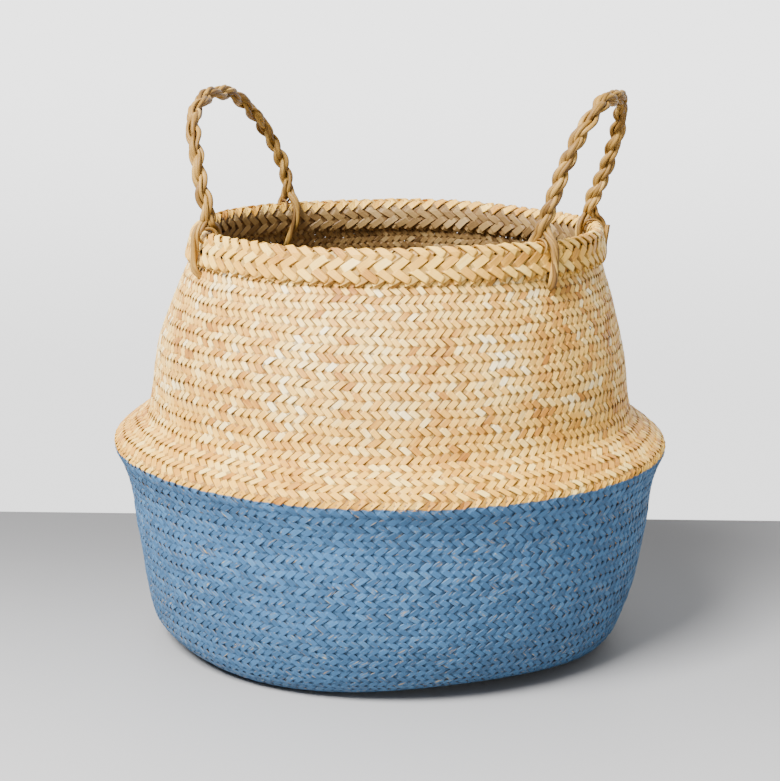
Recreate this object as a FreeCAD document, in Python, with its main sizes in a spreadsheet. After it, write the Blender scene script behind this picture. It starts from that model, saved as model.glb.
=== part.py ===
import FreeCAD, Part
import math
import os
import Sketcher
from FreeCAD import Placement, Rotation, Vector

# A plaited seagrass belly basket, in millimetres.
# +Z is up, the origin is the centre of the base on the floor, and the handles stand on the -X and +X sides.
doc = FreeCAD.newDocument("belly_basket")
sheet = doc.addObject("Spreadsheet::Sheet", "dims")

SIZES = {
    "wall": 4.0,
    "seam_gap": 0.3,
    # base mat: a rounded square that turns up into the round bowl
    "base_turn_angle": -8.0,
    "base_side_reach": 155.0,
    "base_corner_reach": 174.0,
    "base_low_side_reach": 175.0,
    "base_low_corner_reach": 184.5,
    "base_low_height": 6.0,
    "base_mid_side_reach": 188.5,
    "base_mid_corner_reach": 191.0,
    "base_mid_height": 14.0,
    "base_top_radius": 197.0,
    "base_top_height": 24.0,
    # bowl wall, outside face from the foot to the belly crease
    "bowl_foot_radius": 197.2,
    "bowl_low_radius": 202.6,
    "bowl_low_height": 49.4,
    "bowl_mid_radius": 206.9,
    "bowl_mid_height": 74.7,
    "bowl_high_radius": 210.8,
    "bowl_high_height": 99.0,
    "bowl_waist_radius": 213.5,
    "bowl_waist_height": 123.7,
    "bowl_flare_radius": 217.4,
    "bowl_flare_height": 139.0,
    "bowl_lip_radius": 222.6,
    "bowl_lip_height": 151.5,
    "crease_radius": 224.7,
    "crease_height": 160.0,
    # shoulder, from the crease in to the foot of the neck
    "shoulder_edge_radius": 223.4,
    "shoulder_edge_height": 165.2,
    "shoulder_low_radius": 213.9,
    "shoulder_low_height": 173.2,
    "shoulder_high_radius": 199.4,
    "shoulder_high_height": 183.4,
    "shoulder_inset": 2.9,
    # neck, outside face
    "neck_foot_radius": 195.0,
    "neck_foot_height": 188.5,
    "neck_low_radius": 191.7,
    "neck_low_height": 210.0,
    "neck_mid_radius": 187.0,
    "neck_mid_height": 239.0,
    "neck_high_radius": 178.6,
    "neck_high_height": 271.0,
    "neck_band_radius": 166.0,
    "neck_band_height": 306.0,
    "neck_top_radius": 162.8,
    "neck_top_height": 328.0,
    # rim: coarse band outside, turned hem inside, strands folded over the top edge
    "band_depth": 3.0,
    "hem_depth": 2.5,
    "rim_height": 334.0,
    "rim_shoulder_rise": 3.4,
    "rim_shoulder_inset": 1.4,
    "rim_crown_inset": 4.6,
    # handle anchors: a rope end splits into one tail outside and one inside the rim
    "right_front_angle": -31.0,
    "right_back_angle": 20.0,
    "left_back_angle": 141.0,
    "left_front_angle": 223.0,
    "tail_radius": 3.0,
    "tail_head_height": 344.4,
    "tail_shoulder_height": 331.5,
    "tail_foot_height": 305.0,
    "tail_turn_height": 299.2,
    "tail_end_height": 298.4,
    "outer_tail_head": 162.3,
    "outer_tail_shoulder": 171.4,
    "outer_tail_foot": 173.8,
    "outer_tail_turn": 170.6,
    "outer_tail_end": 168.2,
    "inner_tail_head": 156.7,
    "inner_tail_shoulder": 150.8,
    "inner_tail_foot": 154.6,
    "inner_tail_turn": 160.6,
    "inner_tail_end": 166.2,
    "tail_hole_radius": 4.6,
    "tail_hole_length": 40.0,
    "wrap_radius": 5.4,
    # handles: two-ply rope bent into an arch and leaning outwards
    "anchor_radius": 159.5,
    "hinge_height": 350.0,
    "ply_radius": 3.0,
    "ply_offset": 3.1,
    "ply_lay": 30.0,
    "ply_start": 6.6,
    "right_arch_height": 95.0,
    "right_arch_power": 2.7,
    "right_lean_angle": 21.0,
    "left_arch_height": 88.5,
    "left_arch_power": 2.2,
    "left_lean_angle": 16.6,
    # a short end of rope left standing outside the rim
    "loose_end_angle": 11.0,
    "loose_end_reach": 172.0,
    "loose_end_foot_height": 322.0,
    "loose_end_length": 15.0,
    "loose_end_radius": 2.6,
}
for row, (alias, value) in enumerate(SIZES.items(), start=1):
    sheet.set(f"A{row}", alias.replace("_", " "))
    sheet.set(f"B{row}", str(value))
    sheet.setAlias(f"B{row}", alias)
doc.recompute()


def size(alias):
    """One driving dimension, read from the sheet."""
    return float(getattr(sheet, alias))


def amount(terms):
    """The sum of dimensions named by terms, where a leading minus subtracts."""
    return sum(-size(t[1:]) if t.startswith("-") else size(t) for t in terms)


def expression(terms):
    """The same sum, as an expression on the sheet."""
    parts = [f"- dims.{t[1:]}" if t.startswith("-") else f"+ dims.{t}" for t in terms]
    return " ".join(parts).removeprefix("+ ")


def origin_plane(body, role):
    return next(f for f in body.Origin.OriginFeatures if f.Role == role)


def line_sketch(body, name, points, closed):
    """A sketch of straight runs on the body's XZ plane. Each point is (radius terms, height terms)."""
    sketch = body.newObject("Sketcher::SketchObject", name)
    sketch.AttachmentSupport = (origin_plane(body, "XZ_Plane"), [""])
    sketch.MapMode = "FlatFace"
    spots = [Vector(amount(radius), amount(height), 0) for radius, height in points]
    ends = spots[1:] + spots[:1] if closed else spots[1:]
    for start, end in zip(spots, ends):
        sketch.addGeometry(Part.LineSegment(start, end), False)
    last = len(ends)
    for index in range(last):
        if closed or index < last - 1:
            sketch.addConstraint(Sketcher.Constraint("Coincident", index, 2, (index + 1) % last, 1))
    for index, (radius, height) in enumerate(points):
        line, end = (index, 1) if index < last else (last - 1, 2)
        for kind, terms in (("DistanceX", radius), ("DistanceY", height)):
            number = sketch.addConstraint(Sketcher.Constraint(kind, -1, 1, line, end, amount(terms)))
            sketch.setExpression(f"Constraints[{number}]", expression(terms))
    return sketch


def turned_body(name, points):
    """A body turned about +Z from a closed profile."""
    body = doc.addObject("PartDesign::Body", name)
    sketch = line_sketch(body, name + "_profile", points, True)
    turn = body.newObject("PartDesign::Revolution", name + "_turn")
    turn.Profile = sketch
    turn.ReferenceAxis = (sketch, ["V_Axis"])
    turn.Angle = 360
    return body


def at(radius, height):
    """A profile point from two strings of dimension names."""
    return (radius.split(), height.split())


def shell(outer):
    """A profile from outside points, with the inside face one wall thickness in."""
    inner = [(radius + ["-wall"], height) for radius, height in reversed(outer)]
    return outer + inner


bowl_wall = turned_body(
    "bowl_wall",
    shell(
        [
            at("bowl_foot_radius", "base_top_height seam_gap"),
            at("bowl_low_radius", "bowl_low_height"),
            at("bowl_mid_radius", "bowl_mid_height"),
            at("bowl_high_radius", "bowl_high_height"),
            at("bowl_waist_radius", "bowl_waist_height"),
            at("bowl_flare_radius", "bowl_flare_height"),
            at("bowl_lip_radius", "bowl_lip_height"),
            at("crease_radius", "crease_height"),
        ]
    ),
)

shoulder = turned_body(
    "shoulder",
    [
        at("crease_radius", "crease_height seam_gap"),
        at("shoulder_edge_radius", "shoulder_edge_height"),
        at("shoulder_low_radius", "shoulder_low_height"),
        at("shoulder_high_radius", "shoulder_high_height"),
        at("neck_foot_radius", "neck_foot_height -seam_gap"),
        at("neck_foot_radius -wall", "neck_foot_height -seam_gap"),
        at("shoulder_high_radius -shoulder_inset -seam_gap", "shoulder_high_height -shoulder_inset"),
        at("shoulder_low_radius -shoulder_inset", "shoulder_low_height -shoulder_inset -seam_gap"),
        at("crease_radius -wall", "crease_height seam_gap"),
    ],
)

neck_shell = turned_body(
    "neck_shell",
    shell(
        [
            at("neck_foot_radius", "neck_foot_height"),
            at("neck_low_radius", "neck_low_height"),
            at("neck_mid_radius", "neck_mid_height"),
            at("neck_high_radius", "neck_high_height"),
            at("neck_band_radius", "neck_band_height"),
            at("neck_top_radius", "neck_top_height"),
        ]
    ),
)

rim_band_outer = turned_body(
    "rim_band_outer",
    [
        at("neck_band_radius seam_gap", "neck_band_height"),
        at("neck_band_radius seam_gap band_depth", "neck_band_height"),
        at("neck_top_radius seam_gap band_depth", "neck_top_height"),
        at("neck_top_radius seam_gap", "neck_top_height"),
    ],
)

rim_hem_inner = turned_body(
    "rim_hem_inner",
    [
        at("neck_band_radius -wall -seam_gap", "neck_band_height"),
        at("neck_band_radius -wall -seam_gap -hem_depth", "neck_band_height"),
        at("neck_top_radius -wall -seam_gap -hem_depth", "neck_top_height"),
        at("neck_top_radius -wall -seam_gap", "neck_top_height"),
    ],
)

rim_fold = turned_body(
    "rim_fold",
    [
        at("neck_top_radius seam_gap band_depth", "neck_top_height seam_gap"),
        at("neck_top_radius seam_gap band_depth -rim_shoulder_inset", "neck_top_height rim_shoulder_rise"),
        at("neck_top_radius seam_gap band_depth -rim_crown_inset", "rim_height"),
        at("neck_top_radius -wall -seam_gap -hem_depth rim_crown_inset", "rim_height"),
        at("neck_top_radius -wall -seam_gap -hem_depth rim_shoulder_inset", "neck_top_height rim_shoulder_rise"),
        at("neck_top_radius -wall -seam_gap -hem_depth", "neck_top_height seam_gap"),
    ],
)


def rounded_square(side_reach, corner_reach, height):
    """A closed smooth wire whose reach swells from the middle of each side to each corner."""
    spots = []
    count = 64
    for index in range(count):
        angle = 2 * math.pi * index / count
        swell = (1 + math.cos(4 * (angle - math.radians(size("base_turn_angle"))))) / 2
        reach = side_reach + (corner_reach - side_reach) * swell
        spots.append(Vector(reach * math.cos(angle), reach * math.sin(angle), height))
    curve = Part.BSplineCurve()
    curve.interpolate(Points=spots, PeriodicFlag=True)
    return Part.Wire([curve.toShape()])


def base_shape():
    """The base mat: outer loft less the same loft one wall thickness in."""
    levels = [
        (size("base_side_reach"), size("base_corner_reach"), 0.0),
        (size("base_low_side_reach"), size("base_low_corner_reach"), size("base_low_height")),
        (size("base_mid_side_reach"), size("base_mid_corner_reach"), size("base_mid_height")),
        (size("base_top_radius"), size("base_top_radius"), size("base_top_height")),
    ]
    wall = size("wall")
    outer = Part.makeLoft([rounded_square(*level) for level in levels], True, True)
    hollow_levels = [(side - wall, corner - wall, height + wall) for side, corner, height in levels[:-1]]
    side, corner, height = levels[-1]
    hollow_levels.append((side - wall, corner - wall, height + wall))
    hollow = Part.makeLoft([rounded_square(*level) for level in hollow_levels], True, True)
    return outer.cut(hollow)


base_mat = doc.addObject("Part::Feature", "base_mat")
base_mat.Shape = base_shape()

ANCHORS = ("right_front", "right_back", "left_back", "left_front")


def tail_body(name, side, anchor):
    """One rope tail: down the face of the rim, then through the wall under the band."""
    body = doc.addObject("PartDesign::Body", name)
    path = line_sketch(
        body,
        name + "_path",
        [
            at(f"{side}_tail_head", "tail_head_height"),
            at(f"{side}_tail_shoulder", "tail_shoulder_height"),
            at(f"{side}_tail_foot", "tail_foot_height"),
            at(f"{side}_tail_turn", "tail_turn_height"),
            at(f"{side}_tail_end", "tail_end_height"),
        ],
        False,
    )
    ring = body.newObject("Sketcher::SketchObject", name + "_ring")
    ring.AttachmentSupport = (path, ["Edge1"])
    ring.MapMode = "NormalToEdge"
    ring.MapPathParameter = 0.0
    ring.addGeometry(Part.Circle(Vector(0, 0, 0), Vector(0, 0, 1), size("tail_radius")), False)
    ring.addConstraint(Sketcher.Constraint("Coincident", 0, 3, -1, 1))
    number = ring.addConstraint(Sketcher.Constraint("Radius", 0, size("tail_radius")))
    ring.setExpression(f"Constraints[{number}]", "dims.tail_radius")
    pipe = body.newObject("PartDesign::AdditivePipe", name + "_rope")
    pipe.Profile = ring
    pipe.Spine = (path, ["Edge1", "Edge2", "Edge3", "Edge4"])
    pipe.Transition = "Round corner"
    body.Placement = Placement(Vector(0, 0, 0), Rotation(Vector(0, 0, 1), size(f"{anchor}_angle")))
    return body


def set_on_ring(thing, radius, angle, height):
    """Stands an object on the circle of that radius, facing outwards."""
    turn = Rotation(Vector(0, 0, 1), angle)
    thing.Placement = Placement(turn.multVec(Vector(radius, 0, 0)) + Vector(0, 0, height), turn)


tails = []
wraps = []
holes = []
for anchor in ANCHORS:
    for side in ("outer", "inner"):
        tails.append(tail_body(f"{anchor}_{side}_tail", side, anchor))
    wrap = doc.addObject("Part::Sphere", f"{anchor}_wrap")
    wrap.setExpression("Radius", "dims.wrap_radius")
    set_on_ring(wrap, size("anchor_radius"), size(f"{anchor}_angle"), size("hinge_height"))
    wraps.append(wrap)
    hole = doc.addObject("Part::Cylinder", f"{anchor}_hole")
    hole.setExpression("Radius", "dims.tail_hole_radius")
    hole.setExpression("Height", "dims.tail_hole_length")
    turn = Rotation(Vector(0, 0, 1), size(f"{anchor}_angle"))
    inside = size("neck_band_radius") - size("tail_hole_length") / 2
    start = turn.multVec(Vector(inside, 0, 0)) + Vector(0, 0, size("tail_turn_height"))
    hole.Placement = Placement(start, turn.multiply(Rotation(Vector(0, 1, 0), 90)))
    holes.append(hole)

all_holes = doc.addObject("Part::MultiFuse", "tail_holes")
all_holes.Shapes = holes
neck_wall = doc.addObject("Part::Cut", "neck_wall")
neck_wall.Base = neck_shell
neck_wall.Tool = all_holes

loose_end = doc.addObject("Part::Cylinder", "right_back_loose_end")
loose_end.setExpression("Radius", "dims.loose_end_radius")
loose_end.setExpression("Height", "dims.loose_end_length")
set_on_ring(loose_end, size("loose_end_reach"), size("loose_end_angle"), size("loose_end_foot_height"))


def arch_points(half_span, height, fullness, step):
    """Points along an upright arch from one foot to the other, about one step apart."""
    power = 2 / fullness
    spots = []
    count = 1200
    for index in range(count + 1):
        turn = math.pi * index / count
        across = half_span * math.copysign(abs(math.cos(turn)) ** power, math.cos(turn))
        up = height * abs(math.sin(turn)) ** power
        spots.append(Vector(0, across, up))
    kept = [spots[0]]
    for spot in spots:
        if spot.distanceToPoint(kept[-1]) >= step:
            kept.append(spot)
    clear = size("ply_start")
    return [spot for spot in kept if spot.z > clear]


def ply_shape(half_span, height, fullness, phase):
    """One ply of the rope: a tube wound round the arch at a fixed lay."""
    step = 2.2
    centre = arch_points(half_span, height, fullness, step)
    path = []
    run = 0.0
    for index, spot in enumerate(centre):
        before = centre[max(index - 1, 0)]
        after = centre[min(index + 1, len(centre) - 1)]
        along = (after - before).normalize()
        across = Vector(1, 0, 0)
        inward = along.cross(across)
        if index:
            run += spot.distanceToPoint(centre[index - 1])
        angle = phase + 2 * math.pi * run / size("ply_lay")
        offset = across * math.cos(angle) + inward * math.sin(angle)
        path.append(spot + offset * size("ply_offset"))
    curve = Part.BSplineCurve()
    curve.interpolate(path)
    start = curve.value(curve.FirstParameter)
    heading = curve.tangent(curve.FirstParameter)[0]
    ring = Part.Wire([Part.Circle(start, heading, size("ply_radius")).toShape()])
    return Part.Wire([curve.toShape()]).makePipeShell([ring], True, False)


def half_span_of(front_angle, back_angle):
    return size("anchor_radius") * math.sin(math.radians(abs(back_angle - front_angle) / 2))


def handle_placement(front_angle, back_angle, lean):
    """Moves an arch built over the origin onto its two anchors and leans it outwards."""
    middle = (front_angle + back_angle) / 2
    reach = size("anchor_radius") * math.cos(math.radians(abs(back_angle - front_angle) / 2))
    turn = Rotation(Vector(0, 0, 1), middle)
    foot = turn.multVec(Vector(reach, 0, 0)) + Vector(0, 0, size("hinge_height"))
    return Placement(foot, turn.multiply(Rotation(Vector(0, 1, 0), lean)))


plies = []
HANDLES = {
    "right": ("right_front_angle", "right_back_angle"),
    "left": ("left_back_angle", "left_front_angle"),
}
for hand, (first, second) in HANDLES.items():
    span = half_span_of(size(first), size(second))
    for letter, phase in (("a", 0.0), ("b", math.pi)):
        ply = doc.addObject("Part::Feature", f"{hand}_handle_ply_{letter}")
        ply.Shape = ply_shape(span, size(f"{hand}_arch_height"), size(f"{hand}_arch_power"), phase)
        ply.Placement = handle_placement(size(first), size(second), size(f"{hand}_lean_angle"))
        plies.append(ply)

doc.recompute()

NODES = [base_mat, bowl_wall, shoulder, neck_wall, rim_band_outer, rim_hem_inner, rim_fold]
NODES += tails + wraps + [loose_end] + plies

for thing in doc.Objects:
    if "Invalid" in thing.State or "Error" in thing.State:
        raise RuntimeError(f"{thing.Name} did not rebuild")
for node in NODES:
    node.Label = node.Name
    if node.Shape.isNull() or not node.Shape.isValid() or node.Shape.Volume <= 0:
        raise RuntimeError(f"{node.Name} has no sound shape")

os.makedirs("parts", exist_ok=True)
for node in NODES:
    node.Shape.exportStep(f"parts/{node.Label}.step")
    box = node.Shape.BoundBox
    print(node.Label, len(node.Shape.Solids), round(node.Shape.Volume), round(box.ZMin, 1), round(box.ZMax, 1))
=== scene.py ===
import math

import bpy
import numpy as np
from mathutils import Matrix, Vector


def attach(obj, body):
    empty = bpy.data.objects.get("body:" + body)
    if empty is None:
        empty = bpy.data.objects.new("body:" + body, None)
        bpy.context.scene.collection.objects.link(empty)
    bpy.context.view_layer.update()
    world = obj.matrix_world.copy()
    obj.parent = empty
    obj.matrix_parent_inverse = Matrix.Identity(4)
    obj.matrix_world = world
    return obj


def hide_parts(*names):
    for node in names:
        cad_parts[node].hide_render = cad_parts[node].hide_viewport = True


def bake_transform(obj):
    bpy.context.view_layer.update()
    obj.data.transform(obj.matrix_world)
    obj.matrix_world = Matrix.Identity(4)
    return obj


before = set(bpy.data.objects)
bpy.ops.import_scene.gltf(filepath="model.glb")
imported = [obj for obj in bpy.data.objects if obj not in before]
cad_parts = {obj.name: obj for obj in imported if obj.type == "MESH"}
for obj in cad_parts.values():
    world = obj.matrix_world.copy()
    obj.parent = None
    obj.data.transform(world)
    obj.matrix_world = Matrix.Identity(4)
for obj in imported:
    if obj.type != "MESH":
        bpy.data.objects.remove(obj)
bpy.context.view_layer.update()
rng = np.random.default_rng(11)
MM = 0.001

# ---------------------------------------------------------------- shape of the plaited wall, in mm

N_STRANDS = 172                       # strands in each direction round the wall
BASE_TURN = math.radians(-8)          # the corners of the square base
# middle of the wall: radius, height, how far corners stand out, how far sides lift off the floor
WALL = np.array([
    (162.0, 2.6, 9.0, 1.2), (172.5, 4.6, 7.0, 1.6), (182.0, 9.8, 4.0, 1.4), (189.0, 17.6, 1.6, 0.8),
    (193.6, 28.0, 0.4, 0.4), (200.4, 49.4, 0, 0), (204.8, 74.7, 0, 0), (208.6, 99.0, 0, 0),
    (211.2, 123.7, 0, 0), (214.2, 138.0, 0, 0), (219.0, 151.0, 0, 0), (222.3, 158.6, 0, 0),
    (222.4, 162.0, 0, 0), (218.6, 166.4, 0, 0), (210.6, 172.6, 0, 0), (201.4, 179.2, 0, 0),
    (195.2, 184.4, 0, 0), (192.6, 190.5, 0, 0), (190.6, 200.0, 0, 0), (189.0, 213.0, 0, 0),
    (184.8, 240.0, 0, 0), (179.8, 259.0, 0, 0), (173.8, 279.5, 0, 0), (167.4, 298.0, 0, 0),
    (163.4, 311.0, 0, 0), (161.6, 320.0, 0, 0),
])
CREASE_Z = 160.4                      # the fold where the bowl meets the shoulder, and the edge of the paint
NECK_Z = 188.5                        # where the shoulder meets the neck
TILT = 0.13                           # how far a float may roll about its own length, in radians
DRIFT_RADIUS = 190.0                  # a typical radius, to turn a sideways drift in mm into an angle
PATH_PER_RUN = 1.4                    # how much further a slanting strand goes than the wall's outline

BULGE_SIDE = math.radians(15.5)       # the side that bulges a little
SWAY = ([0, 110, 150, 185, 245, 290, 335], [0.3, 0.2, -1.4, -2.0, -2.0, 0.2, 2.2])   # height, bulge
GIRTH = ([0, 40, 160, 188, 240, 290, 335], [0.0, 0.3, 0.8, 1.6, 1.6, 0.2, -1.2])     # height, extra radius
SAG_SIDE = math.radians(-150)         # the side of the base that sags outwards
SAG_OUT, SAG_DOWN, SAG_HEIGHT, SAG_SPREAD = 8.0, 2.0, 34, 0.3


def smooth_curve(knots, step=0.5):
    """Points every step along a smooth curve through the knots, with their run from the start."""
    chord = np.concatenate([[0], np.cumsum(np.linalg.norm(np.diff(knots[:, :2], axis=0), axis=1))])
    slope = np.gradient(knots, chord, axis=0)
    t = np.arange(0, chord[-1], step)
    i = np.clip(np.searchsorted(chord, t, side="right") - 1, 0, len(chord) - 2)
    span = (chord[i + 1] - chord[i])[:, None]
    u = ((t - chord[i])[:, None]) / span
    out = (
        knots[i] * (2 * u**3 - 3 * u**2 + 1) + slope[i] * span * (u**3 - 2 * u**2 + u)
        + knots[i + 1] * (-2 * u**3 + 3 * u**2) + slope[i + 1] * span * (u**3 - u**2)
    )
    run = np.concatenate([[0], np.cumsum(np.linalg.norm(np.diff(out[:, :2], axis=0), axis=1))])
    return run, out


class Surface:
    """A soft surface round the z axis, addressed by angle and by run along its outline."""

    def __init__(self, knots, lean, strands):
        self.run, table = smooth_curve(np.asarray(knots, float))
        self.table = table
        tan = lean(table[:, 1])
        turned = tan / table[:, 0]
        self.phi = np.concatenate([[0], np.cumsum((turned[1:] + turned[:-1]) / 2 * np.diff(self.run))])
        self.row_angle = math.pi / strands
        self.tan = tan
        self.strands = strands

    def rows(self, run):
        return np.interp(run, self.run, self.phi) / self.row_angle

    def run_at_row(self, row):
        return np.interp(row * self.row_angle, self.phi, self.run)

    def run_at_height(self, z):
        return self.run[np.argmax(self.table[:, 1] >= z)]

    def point(self, angle, run):
        r, z, corner, lift = (np.interp(run, self.run, self.table[:, k]) for k in range(4))
        four = np.cos(4 * (angle - BASE_TURN))
        r = r + corner * four
        z = z + lift * (1 - four) / 2
        r, z = soften(angle, r, z)
        return np.stack([r * np.cos(angle), r * np.sin(angle), z], -1)

    def frame_at(self, angle, run):
        """Position, outward normal, change with angle and change with run."""
        turn, reach = 1e-3, 0.4
        p = self.point(angle, run)
        da = (self.point(angle + turn, run) - self.point(angle - turn, run)) / (2 * turn)
        ds = (self.point(angle, run + reach) - self.point(angle, run - reach)) / (2 * reach)
        n = np.cross(da, ds)
        n /= np.linalg.norm(n, axis=-1, keepdims=True)
        return p, n, da, ds


def soften(angle, r, z):
    """Hand-made unevenness: the wall leans and bulges a little, the rim waves, one side of the base sags."""
    sag = np.exp(-((np.cos(angle - SAG_SIDE) - 1) / SAG_SPREAD) ** 2) * np.exp(-((z / SAG_HEIGHT) ** 2))
    uneven = 0.6 * np.sin(3 * angle + 0.6) * np.clip(z / 60, 0, 1)
    sway = np.interp(z, *SWAY) * np.cos(angle - BULGE_SIDE)
    r = r + sway + np.interp(z, *GIRTH) + SAG_OUT * sag + uneven
    up = np.clip((z - 190) / 140, 0, 1)
    wave = 1.4 * np.cos(angle - BULGE_SIDE - 0.25) - 0.9 * np.sin(2 * angle + 0.4) + 0.6 * np.sin(5 * angle)
    return r, z - SAG_DOWN * sag + up**2 * wave


# ---------------------------------------------------------------- strands as closed ribbons


def over_under(row):
    """+1 where a strand of the first family rides over, -1 where it rides under: two over, two under."""
    return np.tanh(4.5 * np.sin(math.pi * (row + 0.5) / 2)) / math.tanh(4.5)


def rows_between(first, last):
    """Rows at which a strand is sampled: at each dip and near both ends of each float."""
    marks = np.array([-0.5, -0.2, 1.2, 1.5, 1.8, 3.2])
    base = np.arange(math.floor(first / 4) - 1, math.ceil(last / 4) + 2) * 4
    rows = np.sort((base[:, None] + marks).ravel())
    rows = rows[(rows > first + 0.12) & (rows < last - 0.12)]
    return np.concatenate([[first], rows, [last]])


class Ribbons:
    """Collects ribbons with the same number of samples and turns them into one mesh."""

    SIDES = 6
    ACROSS = np.array([-1.0, -0.8, 0.8, 1.0, 0.8, -0.8])
    THICK = np.array([0.0, 1.0, 1.0, 0.0, -1.0, -1.0])
    SMOOTH = False
    STRETCH = 2.2                     # a face's length over its width, for the texture layout
    GAP = 0.12                        # share of a texture column left empty between strands

    def __init__(self):
        self.verts, self.faces, self.uvs, self.attrs, self.count = [], [], [], {}, 0
        self.strips = []

    def add(self, centre, side, normal, width, thick, **attrs):
        """centre, side and normal are (strands, samples, 3); width, thick and attrs (strands, samples)."""
        many, samples = centre.shape[:2]
        k = self.SIDES
        v = (
            centre[:, :, None]
            + side[:, :, None] * (self.ACROSS[:, None] * width[:, :, None, None] / 2)
            + normal[:, :, None] * (self.THICK[:, None] * thick[:, :, None, None])
        )
        self.verts.append(v.reshape(-1, 3))
        grid = np.arange(many * samples * k).reshape(many, samples, k) + self.count
        a, b = grid[:, :-1], grid[:, 1:]
        quads = np.stack([a, np.roll(a, -1, 2), np.roll(b, -1, 2), b], -1)
        self.faces.append(quads.reshape(-1, 4))
        self.strips.append((many, samples))
        self.count += many * samples * k
        full = dict(attrs)
        full["across"] = np.broadcast_to(self.ACROSS, (many, samples, k))
        full["outer"] = np.broadcast_to(self.THICK, (many, samples, k))
        full["height"] = v[..., 2] * MM
        for name, value in full.items():
            value = np.asarray(value, float)
            if value.ndim == 2:
                value = np.repeat(value[:, :, None], k, 2)
            self.attrs.setdefault(name, []).append(value.ravel())

    def build(self, name, material):
        verts = np.concatenate(self.verts) * MM
        faces = np.concatenate(self.faces)
        me = bpy.data.meshes.new(name)
        me.vertices.add(len(verts))
        me.vertices.foreach_set("co", verts.astype(np.float32).ravel())
        me.loops.add(faces.size)
        me.loops.foreach_set("vertex_index", faces.astype(np.int32).ravel())
        me.polygons.add(len(faces))
        me.polygons.foreach_set("loop_start", np.arange(0, faces.size, 4, dtype=np.int32))
        me.polygons.foreach_set("loop_total", np.full(len(faces), 4, np.int32))
        me.polygons.foreach_set("use_smooth", np.full(len(faces), self.SMOOTH))
        me.update(calc_edges=True)
        for key, parts in self.attrs.items():
            me.attributes.new(key, "FLOAT", "POINT").data.foreach_set(
                "value", np.concatenate(parts).astype(np.float32)
            )
        uv = me.uv_layers.new(name="OFBake")
        uv.data.foreach_set("uv", self.layout().astype(np.float32).ravel())
        me.materials.append(material)
        ob = bpy.data.objects.new(name, me)
        bpy.context.scene.collection.objects.link(ob)
        return ob

    def layout(self):
        """Lays every ribbon flat in the unit square, in columns of equal width."""
        total = sum(many * (samples - 1) for many, samples in self.strips)
        columns = max(1, int(round(math.sqrt(total * self.STRETCH / self.SIDES))))
        height = math.ceil(total / columns) + max(samples for _, samples in self.strips) + 1
        out = []
        col, row = 0, 0
        for many, samples in self.strips:
            c = np.zeros(many)
            r = np.zeros(many)
            for i in range(many):
                if row + samples > height:
                    col, row = col + 1, 0
                c[i], r[i] = col, row
                row += samples
            j = np.arange(samples - 1)
            k = np.arange(self.SIDES)
            u0 = c[:, None, None] + self.GAP / 2 + (1 - self.GAP) * k / self.SIDES + 0 * j[:, None]
            u1 = u0 + (1 - self.GAP) / self.SIDES
            v0 = r[:, None, None] + j[:, None] + 0.0 * k
            v1 = v0 + 1
            corners = ((u0, v0), (u1, v0), (u1, v1), (u0, v1))
            quad = np.stack([np.stack(corner, -1) for corner in corners], -2)
            out.append(quad.reshape(-1, 2))
        uv = np.concatenate(out)
        uv[:, 0] /= col + 1
        uv[:, 1] /= height
        return uv


def float_numbers(strand_key, row, low=0.0, high=1.0):
    """A steady random number for each float of each strand, smooth across the dips."""
    cell = (row + 0.5) / 2
    whole = np.floor(cell).astype(int)
    part = cell - whole

    def pick(index):
        x = np.sin(strand_key * 12.9898 + index * 78.233) * 43758.5453
        return x - np.floor(x)

    mix = np.clip((part - 0.85) / 0.3, 0, 0.5) - np.clip((0.15 - part) / 0.3, 0, 0.5)
    other = whole + np.where(mix >= 0, 1, -1)
    value = pick(whole) * (1 - abs(mix)) + pick(other) * abs(mix)
    return low + (high - low) * value


def wander(angle, run, end, radius):
    """Hand-made drift of the weave, in angle and in run. Both families share it, and it fades at both ends."""
    fade = np.clip(run / 25, 0, 1) * np.clip((end - run) / 12, 0, 1)
    aside = 0.55 * np.sin(5 * angle + run / 31) + 0.45 * np.sin(11 * angle - run / 19 + 1.3)
    aside = aside + 0.4 * np.sin(23 * angle + run / 10 + 2.0) + 0.3 * np.sin(41 * angle - run / 7)
    up = 0.6 * np.sin(4 * angle - run / 27 + 0.5) + 0.5 * np.sin(13 * angle + run / 17 + 2.1)
    up = up + 0.4 * np.sin(29 * angle - run / 9) + 0.3 * np.sin(47 * angle + run / 8 + 0.7)
    return aside * fade / radius, up * fade


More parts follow.
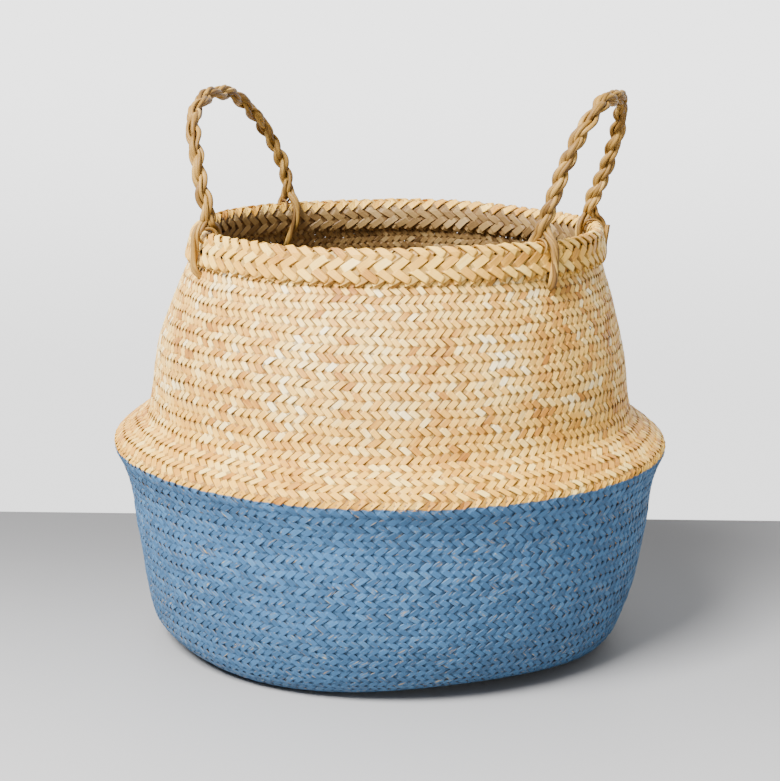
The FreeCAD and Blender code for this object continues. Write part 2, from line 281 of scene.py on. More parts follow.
def weave_family(ribbons, surface, family, row0, rows, share, thick, rise, taper=None, key=0.0, loose=0.11):
    """Adds every strand of one family, +1 or -1. rows are the weave rows at the samples, from row0 on."""
    n = surface.strands
    start = 2 * math.pi * (np.arange(n) + 0.5 * (family < 0)) / n
    outline_run = surface.run_at_row(rows - row0)
    angle = start[:, None] - family * (surface.rows(outline_run) * surface.row_angle)[None, :]
    run = np.broadcast_to(outline_run, angle.shape)
    row = np.broadcast_to(rows, angle.shape)
    strand = (np.arange(n)[:, None] + 1000 * (family > 0) + key) * 1.0
    seed = float_numbers(strand, np.zeros_like(row) - 0.2)
    shift = float_numbers(strand + 0.31, row, -1, 1) * loose
    aside, up = wander(angle, run, surface.run[-1], DRIFT_RADIUS)
    angle = angle + shift * surface.row_angle + aside
    run = run + up
    p, normal, da, ds = surface.frame_at(angle, run)
    tan = np.interp(run, surface.run, surface.tan)
    radius = np.linalg.norm(p[..., :2], axis=-1)
    along = ds + da * (-family * tan / radius)[..., None]
    along /= np.linalg.norm(along, axis=-1, keepdims=True)
    side = np.cross(normal, along)
    tilt = float_numbers(strand + 0.77, row, -1, 1) * TILT
    tilted_normal = normal * np.cos(tilt)[..., None] + side * np.sin(tilt)[..., None]
    tilted_side = side * np.cos(tilt)[..., None] - normal * np.sin(tilt)[..., None]
    state = family * over_under(row)
    lift = rise * state * float_numbers(strand + 0.5, row, 0.86, 1.12)
    pitch = 2 * math.pi * radius / n * np.cos(np.arctan(tan))
    width = pitch * share * float_numbers(strand + 0.13, row, 0.93, 1.05) * (0.97 + 0.05 * seed)
    thickness = np.full(angle.shape, thick) * float_numbers(strand + 0.9, row, 0.85, 1.15)
    if taper is not None:
        sink, slim = taper(row)
        lift = lift + sink
        width = width * slim
    centre = p + normal * lift[..., None]
    length = np.broadcast_to(outline_run * PATH_PER_RUN, angle.shape)
    ribbons.add(
        centre, tilted_side, tilted_normal, width, thickness,
        along=length * MM, seed=seed, fl=float_numbers(strand, row), state=state,
    )


# ---------------------------------------------------------------- materials


def srgb(r, g, b):
    def lin(c):
        c /= 255
        return c / 12.92 if c <= 0.04045 else ((c + 0.055) / 1.055) ** 2.4
    return (lin(r), lin(g), lin(b), 1)


class Nodes:
    """Small helper to wire shader nodes."""

    def __init__(self, name):
        self.mat = bpy.data.materials.new(name)
        self.mat.use_nodes = True
        self.nt = self.mat.node_tree
        self.bsdf = next(n for n in self.nt.nodes if n.type == "BSDF_PRINCIPLED")

    def put(self, socket, value):
        if isinstance(value, bpy.types.NodeSocket):
            self.nt.links.new(value, socket)
        else:
            socket.default_value = value

    def attr(self, name):
        n = self.nt.nodes.new("ShaderNodeAttribute")
        n.attribute_name = name
        return n.outputs["Fac"]

    def math(self, op, a, b=0.0, c=0.0, clamp=False):
        n = self.nt.nodes.new("ShaderNodeMath")
        n.operation = op
        n.use_clamp = clamp
        for socket, value in zip(n.inputs, (a, b, c)):
            self.put(socket, value)
        return n.outputs[0]

    def vector(self, x, y, z):
        n = self.nt.nodes.new("ShaderNodeCombineXYZ")
        for socket, value in zip(n.inputs, (x, y, z)):
            self.put(socket, value)
        return n.outputs[0]

    def noise(self, vector, scale, detail=2.0, rough=0.5):
        n = self.nt.nodes.new("ShaderNodeTexNoise")
        self.put(n.inputs["Vector"], vector)
        n.inputs["Scale"].default_value = scale
        n.inputs["Detail"].default_value = detail
        n.inputs["Roughness"].default_value = rough
        return n.outputs["Fac"]

    def ramp(self, value, stops):
        n = self.nt.nodes.new("ShaderNodeValToRGB")
        el = n.color_ramp.elements
        while len(el) < len(stops):
            el.new(0.5)
        for e, (pos, colour) in zip(el, stops):
            e.position = pos
            e.color = colour
        self.put(n.inputs[0], value)
        return n.outputs[0]

    def mix(self, share, a, b, kind="MIX"):
        n = self.nt.nodes.new("ShaderNodeMix")
        n.data_type = "RGBA"
        n.blend_type = kind
        self.put(n.inputs[0], share)
        self.put(n.inputs[6], a)
        self.put(n.inputs[7], b)
        return n.outputs[2]

    def step(self, value, low, high):
        n = self.nt.nodes.new("ShaderNodeMapRange")
        n.interpolation_type = "SMOOTHSTEP"
        self.put(n.inputs["Value"], value)
        self.put(n.inputs["From Min"], low)
        self.put(n.inputs["From Max"], high)
        return n.outputs["Result"]


STRAW = [
    (0.0, srgb(128, 76, 24)), (0.2, srgb(178, 118, 42)), (0.38, srgb(212, 154, 62)),
    (0.55, srgb(234, 184, 86)), (0.72, srgb(246, 206, 116)), (0.92, srgb(255, 234, 182)),
]
GOLD = [
    (0.0, srgb(118, 72, 20)), (0.18, srgb(178, 120, 36)), (0.4, srgb(218, 160, 56)),
    (0.66, srgb(242, 192, 82)), (0.92, srgb(255, 220, 132)),
]
HONEY = [
    (0.0, srgb(110, 64, 14)), (0.18, srgb(166, 106, 26)), (0.4, srgb(206, 144, 42)),
    (0.66, srgb(232, 176, 62)), (0.92, srgb(250, 212, 116)),
]
# painted shade: a darker copy of the straw, for the faces that look into the basket
SHADED_STRAW = [
    (0.0, srgb(64, 44, 22)), (0.2, srgb(102, 76, 42)), (0.45, srgb(136, 106, 62)),
    (0.7, srgb(160, 130, 80)), (0.95, srgb(190, 160, 112)),
]
ROPE = [
    (0.0, srgb(60, 38, 12)), (0.2, srgb(96, 66, 26)), (0.45, srgb(128, 94, 38)),
    (0.7, srgb(158, 120, 52)), (0.95, srgb(196, 158, 84)),
]
BLUE = [
    (0.0, srgb(38, 70, 98)), (0.35, srgb(48, 89, 126)), (0.7, srgb(61, 107, 148)), (1.0, srgb(98, 138, 166)),
]


GOLD_ZONE = (0.172, 0.245)            # heights between which honey-coloured straw gives way to pale straw
# painted shade colours: brown for the gaps between straw strands, slate for the gaps on the paint
SHADE_BROWN, SHADE_SLATE = srgb(88, 56, 24), srgb(44, 58, 72)
# painted shade: the first colour darkens the blue near the floor, where the wall turns under; the second greys
# straw that the paint misses
FOOT_SHADE, WASHED_PAINT = srgb(38, 66, 92), srgb(104, 108, 104)


def times(m, first, *others):
    for other in others:
        first = m.math("MULTIPLY", first, other)
    return first


def paint_over(m, colour, gap_shade, along, across, far, streak):
    """Blue paint on the outside, up to the crease, that misses some fibres and some spots."""
    fl, height, outer = m.attr("fl"), m.attr("height"), m.attr("outer")
    bluish = m.ramp(m.math("MULTIPLY_ADD", fl, 0.5, times(m, streak, 0.5)), BLUE)
    # painted shade: the gaps between painted strands darken towards slate
    bluish = m.mix(times(m, gap_shade, 0.62), bluish, SHADE_SLATE)
    # painted shade: the blue darker towards the foot, where the wall turns under
    foot = m.math("SUBTRACT", 1.0, m.step(height, 0.0, 0.11))
    bluish = m.mix(times(m, foot, 0.3), bluish, FOOT_SHADE)
    fleck = m.noise(m.vector(far, times(m, along, 130.0), times(m, across, 2.2)), 1.0, 3.0, 0.65)
    line = m.math("MULTIPLY_ADD", fl, 0.0014, CREASE_Z * MM - 0.0016)
    above = m.step(height, m.math("SUBTRACT", line, 0.0006), m.math("ADD", line, 0.0006))
    under = m.math("SUBTRACT", 1.0, above)
    face = m.step(m.math("ADD", outer, times(m, m.math("SUBTRACT", fleck, 0.5), 1.6)), -0.35, 0.15)
    solid = m.math("SUBTRACT", 1.0, m.step(fleck, 0.6, 0.7))
    stained = times(m, under, m.step(outer, -0.5, 0.0), 0.65)
    return m.mix(times(m, under, face, solid), m.mix(stained, colour, WASHED_PAINT), bluish)


def plait_material(name, stops, honey=False, paint=False, inside=False, shade=1.0):
    """Dried leaf strands: a tone for each float, streaks along it, and painted shade in the gaps and on inward
    faces.
    """
    m = Nodes(name)
    along, across, seed, fl = m.attr("along"), m.attr("across"), m.attr("seed"), m.attr("fl")
    state, outer = m.attr("state"), m.attr("outer")
    far = times(m, seed, 61.0)
    slow = m.noise(m.vector(far, times(m, along, 16.0), 0.0), 1.0, 2.0)
    streak = m.noise(m.vector(far, times(m, along, 45.0), times(m, across, 4.5)), 1.0, 3.0, 0.6)
    patch = m.noise(m.nt.nodes.new("ShaderNodeTexCoord").outputs["Object"], 17.0, 2.0)
    tone = m.math("MULTIPLY_ADD", fl, 0.42, -0.69)
    for pattern, strength in ((slow, 1.15), (streak, 0.45), (patch, 0.5)):
        tone = m.math("MULTIPLY_ADD", pattern, strength, tone)
    colour = m.ramp(tone, stops)
    if honey:
        colour = m.mix(m.step(m.attr("height"), *GOLD_ZONE), m.ramp(tone, HONEY), colour)
    if inside:
        # painted shade: faces turned into the basket take the darker copy of the straw
        back = m.math("SUBTRACT", 1.0, m.step(outer, -0.7, -0.1))
        colour = m.mix(back, colour, m.ramp(tone, SHADED_STRAW))
    # painted shade: strand edges, the dips and the parts lying under a crossing strand darken towards brown
    edge = m.step(m.math("ABSOLUTE", across), 0.74, 0.94)
    dip = m.math("SUBTRACT", 1.0, m.step(m.math("ABSOLUTE", state), 0.0, 0.75))
    beneath = times(m, m.math("SUBTRACT", 1.0, m.step(state, -0.7, 0.2)), m.step(outer, 0.0, 0.6))
    gap_shade = m.math("MAXIMUM", times(m, edge, 0.8), times(m, m.math("MAXIMUM", dip, beneath), 0.66))
    colour = m.mix(times(m, gap_shade, shade), colour, SHADE_BROWN)
    if paint:
        colour = paint_over(m, colour, gap_shade, along, across, far, streak)
    m.put(m.bsdf.inputs["Base Color"], colour)
    m.bsdf.inputs["Roughness"].default_value = 0.58
    m.bsdf.inputs["Specular IOR Level"].default_value = 0.35
    bump = m.nt.nodes.new("ShaderNodeBump")
    bump.inputs["Strength"].default_value = 0.35
    bump.inputs["Distance"].default_value = 0.0006
    m.put(bump.inputs["Height"], streak)
    m.put(m.bsdf.inputs["Normal"], bump.outputs[0])
    return m.mat


straw = plait_material("straw", STRAW, honey=True, inside=True)
painted = plait_material("painted_straw", STRAW, honey=True, paint=True, inside=True)
rim_straw = plait_material("rim_straw", GOLD, shade=0.8)
# painted shade: the inner hem takes the darker copy of the straw
shaded_hem_straw = plait_material("shaded_hem_straw", SHADED_STRAW, shade=0.9)
rope_straw = plait_material("rope_straw", ROPE, shade=0.8)

# ---------------------------------------------------------------- wall and base

# how far a strand goes sideways for each mm up, in the bowl and in the neck
LEAN_LOW, LEAN_HIGH = 1.32, 1.05


def wall_lean(z):
    return LEAN_LOW + (LEAN_HIGH - LEAN_LOW) * np.clip((z - 120) / 80, 0, 1)


wall = Surface(WALL, wall_lean, N_STRANDS)
ROW0 = N_STRANDS / 4 - 1               # rows already woven in the base mat
# how far floats stand up, half their thickness, and their share of the pitch
RISE, THICK, FILL = 0.7, 0.55, 1.06
neck_run = wall.run_at_height(NECK_Z + 0.4)


def wall_piece(name, first, last, material):
    ribbons = Ribbons()
    rows = rows_between(wall.rows(first) + ROW0, wall.rows(last) + ROW0)
    for family in (1, -1):
        weave_family(ribbons, wall, family, ROW0, rows, FILL, THICK, RISE)
    return ribbons.build(name, material)


low_run = wall.run_at_height(52)
mid_run = wall.run_at_height(108)
high_run = wall.run_at_height(245)
below_crease = wall.run_at_height(CREASE_Z - 1.0)
zones = [
    ("plait_bowl_low", 0.0, low_run, painted, "bowl"),
    ("plait_bowl_middle", low_run, mid_run, painted, "bowl"),
    ("plait_bowl_high", mid_run, below_crease, painted, "bowl"),
    ("plait_shoulder", below_crease, neck_run, painted, "shoulder"),
    ("plait_neck_low", neck_run, high_run, straw, "neck"),
    ("plait_neck_high", high_run, wall.run[-1], straw, "neck"),
]
for name, first, last, material, body in zones:
    ob = wall_piece(name, first, last, material)
    if body == "shoulder":
        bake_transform(ob)
    else:
        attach(ob, body)
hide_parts("bowl_wall")
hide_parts("shoulder")
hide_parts("neck_wall")


MAT_RISE = 0.85                        # how far floats of the mat stand off its middle
MAT_TOP, MAT_DROP = 3.2, 1.6           # the middle of the mat stands a little off the floor
MAT_PITCH, MAT_PITCH_GROWTH = 3.61, 0.52        # strand width at the centre, and how much it grows
MAT_STEP = 0.0037                      # metres along a strand from one crossing to the next


def base_mat():
    """The square mat under the basket: two crossing sets of straight strands, out to the rounded edge."""
    ribbons = Ribbons()
    reach = N_STRANDS // 4              # in strand widths, from the centre to a corner
    for turn in (0, 1):
        for sign in (-1, 1):
            for i in range(reach):
                v = i + 0.5
                span = reach - v
                marks = np.array([0.0, 0.62, 1.38])
                periods = np.arange(-math.ceil(span / 2) - 1, math.ceil(span / 2) + 2)[:, None]
                u = (periods * 2 + marks).ravel()
                u = np.concatenate([[-span], u[(u > -span + 0.2) & (u < span - 0.2)], [span]])
                ring = np.abs(u) + v
                spin = np.where(u >= 0, v / ring, 2 - v / ring) * math.pi / 2
                angle = spin * sign + turn * math.pi / 2 + BASE_TURN
                edge = wall.point(angle, np.zeros_like(angle))
                share = ring / reach
                flat = edge[:, :2] * share[:, None]
                z = edge[:, 2] * share**3 + MAT_TOP * (1 - share**3) + MAT_DROP * (1 - share**2)
                p = np.column_stack([flat, z])
                along = np.gradient(p, axis=0)
                along /= np.linalg.norm(along, axis=1, keepdims=True)
                down = np.tile([0.0, 0.0, -1.0], (len(u), 1))
                side = np.cross(down, along)
                row = ring - 1
                family = np.tanh(u / 0.4) * sign * (1 if turn == 0 else -1)
                state = family * over_under(row)
                centre = p + down * (MAT_RISE * state)[:, None]
                key = np.full((1, len(u)), i + 200.0 * turn + 431.0 * (sign > 0))
                width = (MAT_PITCH + MAT_PITCH_GROWTH * share) * FILL
                ones = np.ones((1, len(u)))
                ribbons.add(
                    centre[None], side[None], down[None], width[None], ones * THICK,
                    along=(u[None] + 50) * MAT_STEP, seed=float_numbers(key, 0 * ones),
                    fl=float_numbers(key, row[None]), state=state[None],
                )
    return ribbons.build("plait_base", painted)


base = base_mat()
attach(base, "bowl")
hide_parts("base_mat")

# ---------------------------------------------------------------- rim

N_RIM = 88
# radius and height, from the foot of the band over the crest to the hem
RIM = np.array([
    (168.6, 310.2), (167.6, 314.5), (166.4, 320.5), (165.2, 327.2), (163.7, 331.8), (161.1, 333.6),
    (158.3, 332.0), (156.6, 327.8), (156.9, 320), (158.4, 313), (160.0, 308.0),
])
RIM_LEAN = 1.42
RIM_FILL, RIM_THICK, RIM_RISE, RIM_LOOSE = 0.98, 0.7, 0.9, 0.16
CREST_HALF = 7.0                       # how far the crest piece reaches to each side of the top
TUCK_DEPTH, TUCK_ROWS = 2.6, 0.9
rim = Surface(np.column_stack([RIM, np.zeros((len(RIM), 2))]), lambda z: np.full_like(z, RIM_LEAN), N_RIM)
crest_run = rim.run[np.argmax(rim.table[:, 1])]
rim_row0 = 1.3 - rim.rows(crest_run)   # floats of the first family lie just outside the crest


def tuck(row):
    """Both ends of each rim strand dive into the wall and narrow."""
    low = np.clip((rim_row0 + TUCK_ROWS - row) / TUCK_ROWS, 0, 1)
    top = rim_row0 + rim.rows(rim.run[-1])
    high = np.clip((row - top + TUCK_ROWS) / TUCK_ROWS, 0, 1)
    end = np.maximum(low, high)
    return -TUCK_DEPTH * end**1.5, 1 - 0.45 * end


def rim_piece(name, first, last, material):
    ribbons = Ribbons()
    rows = rows_between(rim.rows(first) + rim_row0, rim.rows(last) + rim_row0)
    rows = np.sort(np.concatenate([rows, (rows[1:] + rows[:-1]) / 2]))
    for family in (1, -1):
        weave_family(
            ribbons, rim, family, rim_row0, rows, RIM_FILL, RIM_THICK, RIM_RISE,
            taper=tuck, key=5000.0, loose=RIM_LOOSE,
        )
    return ribbons.build(name, material)


outer_end = crest_run - CREST_HALF
inner_start = crest_run + CREST_HALF
rim_parts = [
    ("plait_rim_outside", 0.0, outer_end, "rim_band_outer"),
    ("plait_rim_crest", outer_end, inner_start, "rim_fold"),
    ("plait_rim_inside", inner_start, rim.run[-1], "rim_hem_inner"),
]
for name, first, last, node in rim_parts:
    ob = rim_piece(name, first, last, shaded_hem_straw if node == "rim_hem_inner" else rim_straw)
    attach(ob, "neck")
    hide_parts(node)

# ---------------------------------------------------------------- rope handles

HINGE_Z = 350.0                        # the line that a handle swings about
ANCHOR_R = 159.5                       # how far each foot of an arch is from the axis
PLY_OFFSET = 2.6                       # from the rope's middle to the middle of each ply
FIBRES, FIBRE_OFFSET, FIBRE_RADIUS = 5, 2.15, 1.85
FIBRE_LAY = 70.0                       # length of one turn of the fibres round their ply
ANCHORS = (("right_front", -31), ("right_back", 20), ("left_back", 141), ("left_front", 223))
WRAP_TURNS, WRAP_LENGTH, WRAP_RADIUS = 1.7, 11, 1.1
WRAP_Z, WRAP_UP, WRAP_OUT = 331.5, 6.0, 7.0     # its middle height, and how far it reaches up and out
TUFT_ANGLE, TUFT_R, TUFT_Z, TUFT_HEIGHT = math.radians(11), 168.5, 321, 15

# rope ends down the rim: distance from the anchor circle, height, sideways
OUTER_TAIL = [
    (6.4, 338.4, 0.8), (10.4, 333.2, 1.2), (11.2, 327.0, 1.2), (11.4, 318.0, 0.8),
    (11.8, 310.0, 0.3), (10.4, 304.0, 0), (6.0, 300.5, 0),
]
INNER_TAIL = [
    (-5.6, 338.4, -2.0), (-8.6, 333.2, -3.0), (-9.6, 327.0, -3.0),
    (-8.8, 318.0, -1.6), (-6.0, 309.0, 0.2), (-3.0, 302.0, 1.0), (2.0, 298.0, 1.0),
]


def resample(points, step):
    run = np.concatenate([[0], np.cumsum(np.linalg.norm(np.diff(points, axis=0), axis=1))])
    n = max(2, int(round(run[-1] / step)))
    t = np.linspace(0, run[-1], n + 1)
    return np.column_stack([np.interp(t, run, points[:, k]) for k in range(points.shape[1])]), t


def smooth_points(points, rounds):
    for _ in range(rounds):
        inner = (points[:-2] + 2 * points[1:-1] + points[2:]) / 4
        points = np.vstack([points[:1], inner, points[-1:]])
    return points


def axes_along(points, hint):
    along = np.gradient(points, axis=0)
    along /= np.linalg.norm(along, axis=1, keepdims=True)
    first = hint - (hint * along).sum(1, keepdims=True) * along
    first /= np.linalg.norm(first, axis=1, keepdims=True)
    return along, first, np.cross(along, first)


class Tubes(Ribbons):
    """Round fibres, drawn with the same machinery as the ribbons."""

    TURNS = 2 * math.pi * np.arange(Ribbons.SIDES) / Ribbons.SIDES
    ACROSS = np.cos(TURNS)
    THICK = np.sin(TURNS)
    SMOOTH = True


def rope_arch(reach, c, height, power, lean, slant, seed):
    """The rope's middle line, in the handle's own frame, from a little below one foot to below the other."""
    u = np.linspace(0.0005, math.pi - 0.0005, 3000)
    across = c * np.sign(np.cos(u)) * abs(np.cos(u)) ** (2 / power)
    up = height * np.sin(u) ** (2 / power)
    across = across + slant * up**2 / height
    sl, cl = math.sin(math.radians(lean)), math.cos(math.radians(lean))
    arch, run = resample(np.column_stack([reach + up * sl, across, HINGE_Z + up * cl]), 1.2)
    wobble = np.sin(run / 21 + seed) * 0.9 + np.sin(run / 9.5 + 2 * seed) * 0.35
    _, flat, second_axis = axes_along(arch, np.tile([cl, 0.0, -sl], (len(arch), 1)))
    rising = np.clip((arch[:, 2] - HINGE_Z) / 30, 0, 1)
    arch = arch + flat * (wobble * rising)[:, None] + second_axis * (np.roll(wobble, 40) * rising)[:, None]
    drop = np.arange(1, 8)[:, None] * np.array([0, 0, -1.2])
    return resample(np.vstack([(arch[0] + drop)[::-1], arch, arch[-1] + drop]), 1.2)


def rope_twist(arch, run, crown_height, lay, seed):
    """Turns of the two plies along the arch: looser over the crown, with half a turn left over at the end."""
    crown = np.clip((arch[1:, 2] - HINGE_Z) / crown_height, 0, 1) ** 3
    local_lay = lay * (1 + 0.1 * np.sin(run[1:] / 37 + seed) + 0.95 * crown)
    twist = np.concatenate([[0], np.cumsum(np.diff(run) / local_lay)])
    return twist * ((math.floor(twist[-1]) + 0.5) / twist[-1])


def rope_tail(foot, rows):
    """One ply's end, from the foot of the arch down the rim."""
    angle = math.atan2(foot[1], foot[0])
    radial = np.array([math.cos(angle), math.sin(angle), 0])
    around = np.array([-radial[1], radial[0], 0])
    return np.array([radial * (ANCHOR_R + d) + around * t + np.array([0, 0, z]) for d, z, t in rows])


def ply_fibres(path, t, hint, turn, base_key):
    """The twisted fibres of one ply, thinner towards its ends and down the rim."""
    _, first_axis, second_axis = axes_along(path, hint)
    tubes = Tubes()
    n = len(t)
    for f in range(FIBRES):
        wander_round = 0.5 * np.sin(t / 23 + f * 1.7) + 0.25 * np.sin(t / 7.3 + f * 2.9)
        spin = 2 * math.pi * f / FIBRES + rng.uniform(-0.25, 0.25) - 2 * math.pi * t / FIBRE_LAY + wander_round
        at_end = np.clip(np.minimum(t, t[-1] - t) / 10, 0, 1)
        taper = 0.55 + 0.25 * at_end + 0.2 * np.clip((path[:, 2] - 330) / 14, 0, 1)
        offset = (FIBRE_OFFSET + 0.25 * np.sin(f * 2.1 + t / 17)) * taper
        around = first_axis * np.cos(spin)[:, None] + second_axis * np.sin(spin)[:, None]
        line = path + around * offset[:, None]
        _, f2, s2 = axes_along(line, hint)
        radius = FIBRE_RADIUS + 0.25 * rng.uniform(-1, 1)
        radius = radius * (1 + 0.12 * np.sin(t / 5.3 + f)) * (0.7 + 0.3 * taper)
        key = np.full((1, n), f * 7.0 + base_key)
        tubes.add(
            (line @ turn.T)[None], (f2 @ turn.T)[None], (s2 @ turn.T)[None], 2 * radius[None], radius[None],
            along=(t * MM)[None], seed=float_numbers(key, np.zeros((1, n))),
            fl=float_numbers(key, (t / 9)[None]), state=np.ones((1, n)),
        )
    return tubes


def handle_rope(hand, first, second, height, power, lean, lay, slant):
    """Two plies of twisted fibres that straddle the rim at both ends and twist together over the arch."""
    middle, half = math.radians((first + second) / 2), math.radians(abs(second - first) / 2)
    reach = ANCHOR_R * math.cos(half)
    turn = np.array([
        [math.cos(middle), -math.sin(middle), 0], [math.sin(middle), math.cos(middle), 0], [0, 0, 1.0],
    ])
    arch, run = rope_arch(reach, ANCHOR_R * math.sin(half), height, power, lean, slant, first)
    sl, cl = math.sin(math.radians(lean)), math.cos(math.radians(lean))
    sideways = [cl, 0.0, -sl]
    _, flat, second_axis = axes_along(arch, np.tile(sideways, (len(arch), 1)))
    twist = rope_twist(arch, run, height * cl, lay, first)
    near, far = ("front", "back") if hand == "left" else ("back", "front")
    for letter, phase in (("a", 0.0), ("b", math.pi)):
        spin = phase + 2 * math.pi * twist
        helix = arch + PLY_OFFSET * (flat * np.cos(spin)[:, None] + second_axis * np.sin(spin)[:, None])
        tails = (OUTER_TAIL, INNER_TAIL) if letter == "a" else (INNER_TAIL, OUTER_TAIL)
        start, end = rope_tail(arch[0], tails[0]), rope_tail(arch[-1], tails[1])
        path, _ = resample(np.vstack([start[::-1], helix, end]), 1.5)
        path, t = resample(smooth_points(path, 2), 1.7)
        base_key = (31 if letter == "a" else 77) + (0 if hand == "left" else 300)
        tubes = ply_fibres(path, t, np.tile(sideways, (len(path), 1)), turn, base_key)
        ob = tubes.build(f"rope_{hand}_{letter}", rope_straw)
        pivot = turn @ np.array([reach, 0, HINGE_Z])
        lift = turn @ np.array([sl, 0, cl])
        start, end = tuple((pivot - 6 * lift) * MM), tuple((pivot + 16 * lift) * MM)
        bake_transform(ob)
        outer, inner = (near, far) if letter == "a" else (far, near)
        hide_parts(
            f"{hand}_handle_ply_{letter}", f"{hand}_{outer}_outer_tail", f"{hand}_{inner}_inner_tail"
        )


# hand, the angles of its two anchors, height, fullness, lean outwards, lay, how far the crown leans aside
handle_rope("right", -31, 20, 96.0, 2.6, 20.6, 26.0, -0.07)
handle_rope("left", 141, 223, 87.0, 2.4, 16.6, 34.0, 0.11)


def add_fibre(tubes, line, hint, radius, along, seed, fl):
    """One fibre, drawn as a round tube along a line."""
    _, first_axis, second_axis = axes_along(line, hint)
    tubes.add(
        line[None], first_axis[None], second_axis[None], 2 * radius, radius, along=along[None],
        seed=seed, fl=fl, state=np.ones((1, len(line))),
    )


def finish_rim_extra(tubes, name, node):
    """A piece of straw that rides with the neck and takes the place of one CAD node."""
    ob = tubes.build(name, rope_straw)
    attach(ob, "neck")
    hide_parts(node)


def anchor_wrap(name, degrees):
    """A thin strand wound over the rim between the two rope ends at one anchor."""
    angle = math.radians(degrees)
    radial = np.array([math.cos(angle), math.sin(angle), 0])
    tangent = np.array([-radial[1], radial[0], 0])
    t = np.linspace(0, 1, 90)
    spin = 2 * math.pi * WRAP_TURNS * t - 0.6
    line = (
        radial * (ANCHOR_R + 1.2 + (WRAP_OUT + 0.5 * np.sin(5 * t)) * np.cos(spin))[:, None]
        + tangent * (-WRAP_LENGTH / 2 + WRAP_LENGTH * t)[:, None]
        + np.array([0, 0, 1.0]) * (WRAP_Z + WRAP_UP * np.sin(spin))[:, None]
    )
    n = len(t)
    key = np.full((1, n), degrees + 500.0)
    radius = np.full((1, n), WRAP_RADIUS) * (1 - 0.4 * (abs(t - 0.5) * 2) ** 8)
    tubes = Tubes()
    add_fibre(
        tubes, line, np.tile(tangent, (n, 1)), radius, t * 0.1,
        float_numbers(key, np.zeros((1, n))), float_numbers(key, (t * 8)[None]),
    )
    finish_rim_extra(tubes, f"{name}_winding", f"{name}_wrap")


for name, degrees in ANCHORS:
    anchor_wrap(name, degrees)


def loose_end():
    """A short broken rope end that stands outside the rim beside the right handle."""
    radial = np.array([math.cos(TUFT_ANGLE), math.sin(TUFT_ANGLE), 0])
    t = np.linspace(0, 1, 12)
    n = len(t)
    tubes = Tubes()
    for f in range(FIBRES):
        a = 2 * math.pi * f / FIBRES
        line = (
            radial * (TUFT_R + 2.0 * t + 1.2 * math.cos(a))[:, None]
            + np.array([0, 0, 1.0]) * (TUFT_Z + TUFT_HEIGHT * t)[:, None]
            + np.array([-radial[1], radial[0], 0]) * (1.2 * math.sin(a) + 1.5 * t**2)[:, None]
        )
        add_fibre(
            tubes, line, np.tile(radial, (n, 1)), np.full((1, n), 1.0), t * 0.015,
            np.full((1, n), f / FIBRES), np.full((1, n), 0.4 + 0.1 * f),
        )
    finish_rim_extra(tubes, "loose_rope_end", "right_back_loose_end")


loose_end()

# ---------------------------------------------------------------- stage, light and camera

YAW = math.radians(15.5)               # how far the camera stands round from the basket's own front
RIGHT = Vector((math.cos(YAW), math.sin(YAW), 0))
AWAY = Vector((-math.sin(YAW), math.cos(YAW), 0))
FLOOR_Z, FLOOR_EDGE = -0.0004, 0.300
PITCH, ROLL = 0.217, -0.012


def placed(x, y, z):
    """A point measured in metres to the camera's right, away from it, and up."""
    return RIGHT * x + AWAY * y + Vector((0, 0, z))


def quad(name, corners, material):
    me = bpy.data.meshes.new(name)
    me.from_pydata([tuple(placed(*c)) for c in corners], [], [(0, 1, 2, 3)])
    me.materials.append(material)
    ob = bpy.data.objects.new(name, me)
    bpy.context.scene.collection.objects.link(ob)


def object_axes(nodes):
    place = nodes.nt.nodes.new("ShaderNodeTexCoord").outputs["Object"]
    axes = nodes.nt.nodes.new("ShaderNodeSeparateXYZ")
    nodes.put(axes.inputs[0], place)
    return place, axes.outputs


def floor_material():
    """Grey floor with painted shade, darker towards the back."""
    m = Nodes("floor_painted_shade")
    place, axes = object_axes(m)
    x_part, y_part = m.math("MULTIPLY", axes[0], -math.sin(YAW)), m.math("MULTIPLY", axes[1], math.cos(YAW))
    depth = m.math("ADD", x_part, y_part)
    # painted shade: the floor darkens towards the back, with a faint blotchy noise
    back_shade = m.math("MULTIPLY_ADD", m.noise(place, 3.0), 0.02, m.step(depth, -0.42, 0.34))
    m.put(m.bsdf.inputs["Base Color"], m.mix(back_shade, srgb(172, 172, 173), srgb(101, 101, 102)))
    m.bsdf.inputs["Roughness"].default_value = 0.6
    m.bsdf.inputs["Specular IOR Level"].default_value = 0.2
    return m.mat


def backdrop_material():
    """A bright sheet that shines by itself."""
    m = Nodes("backdrop_light")
    _, axes = object_axes(m)
    m.bsdf.inputs["Base Color"].default_value = (0, 0, 0, 1)
    shine = m.mix(m.step(axes[2], -1.2, 0.3), srgb(206, 206, 206), srgb(240, 240, 240))
    m.put(m.bsdf.inputs["Emission Color"], shine)
    m.bsdf.inputs["Emission Strength"].default_value = 3.4
    return m.mat


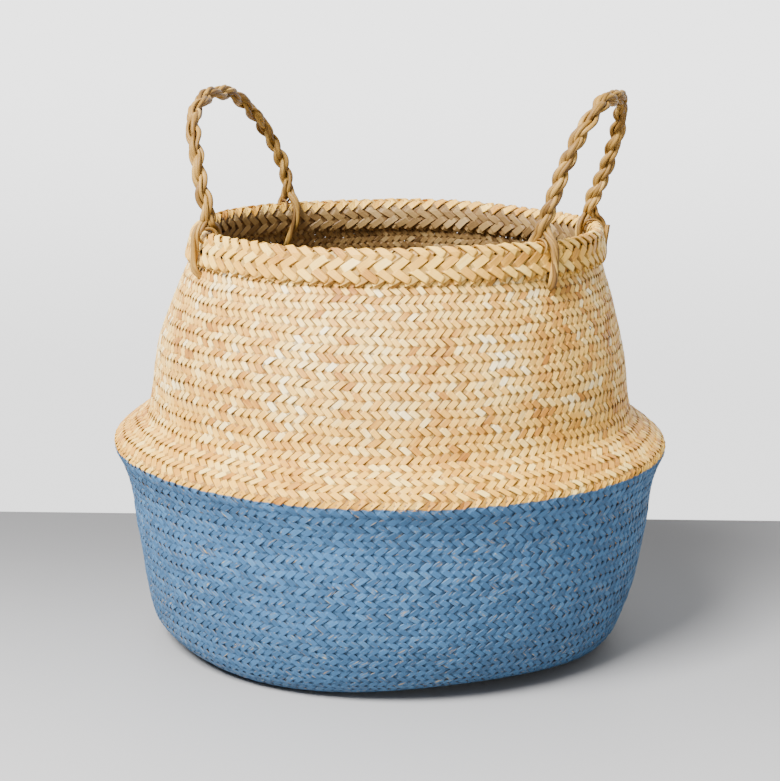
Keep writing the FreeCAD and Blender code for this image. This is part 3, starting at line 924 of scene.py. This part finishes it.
floor = [(-4, -3, FLOOR_Z), (4, -3, FLOOR_Z), (4, FLOOR_EDGE, FLOOR_Z), (-4, FLOOR_EDGE, FLOOR_Z)]
quad("floor", floor, floor_material())
quad("backdrop", [(-9, 6, -4), (9, 6, -4), (9, 6, 6), (-9, 6, 6)], backdrop_material())


def area_light(name, place, target, size, energy, colour):
    data = bpy.data.lights.new(name, "AREA")
    data.shape = "RECTANGLE"
    data.size, data.size_y = size
    data.energy = energy
    data.color = colour
    ob = bpy.data.objects.new(name, data)
    bpy.context.scene.collection.objects.link(ob)
    ob.location = placed(*place)
    ob.rotation_mode = "QUATERNION"
    ob.rotation_quaternion = (placed(*target) - placed(*place)).to_track_quat("-Z", "Y")


def sky():
    world = bpy.data.worlds.new("studio")
    bpy.context.scene.world = world
    world.use_nodes = True
    background = world.node_tree.nodes["Background"]
    background.inputs["Color"].default_value = srgb(236, 237, 240)
    background.inputs["Strength"].default_value = 0.4


def aim_camera():
    """The photograph's view: lens, distance, a slight look down and a very slight roll."""
    camera = bpy.data.cameras.new("camera")
    camera.lens, camera.sensor_width = 80.1, 36
    camera.clip_start, camera.clip_end = 0.05, 50
    cam = bpy.data.objects.new("camera", camera)
    bpy.context.scene.collection.objects.link(cam)
    bpy.context.scene.camera = cam
    cam.location = placed(-0.0015, -1.392, 0.503)
    look = AWAY * math.cos(PITCH) - Vector((0, 0, 1)) * math.sin(PITCH)
    upward = AWAY * math.sin(PITCH) + Vector((0, 0, 1)) * math.cos(PITCH)
    roll = Matrix.Rotation(ROLL, 3, look)
    x_axis, y_axis = roll @ RIGHT, roll @ upward
    cam.matrix_world = Matrix((
        (x_axis.x, y_axis.x, -look.x, cam.location.x), (x_axis.y, y_axis.y, -look.y, cam.location.y),
        (x_axis.z, y_axis.z, -look.z, cam.location.z), (0, 0, 0, 1),
    ))


# name, place, what it points at, size, strength, colour
area_light("key", (-1.1, -1.45, 2.2), (0, 0, 0.15), (1.1, 1.1), 305, (1, 0.99, 0.975))
area_light("fill", (1.5, -2.0, 0.55), (0, 0, 0.2), (1.6, 0.9), 15, (0.97, 0.985, 1))
sky()
aim_camera()
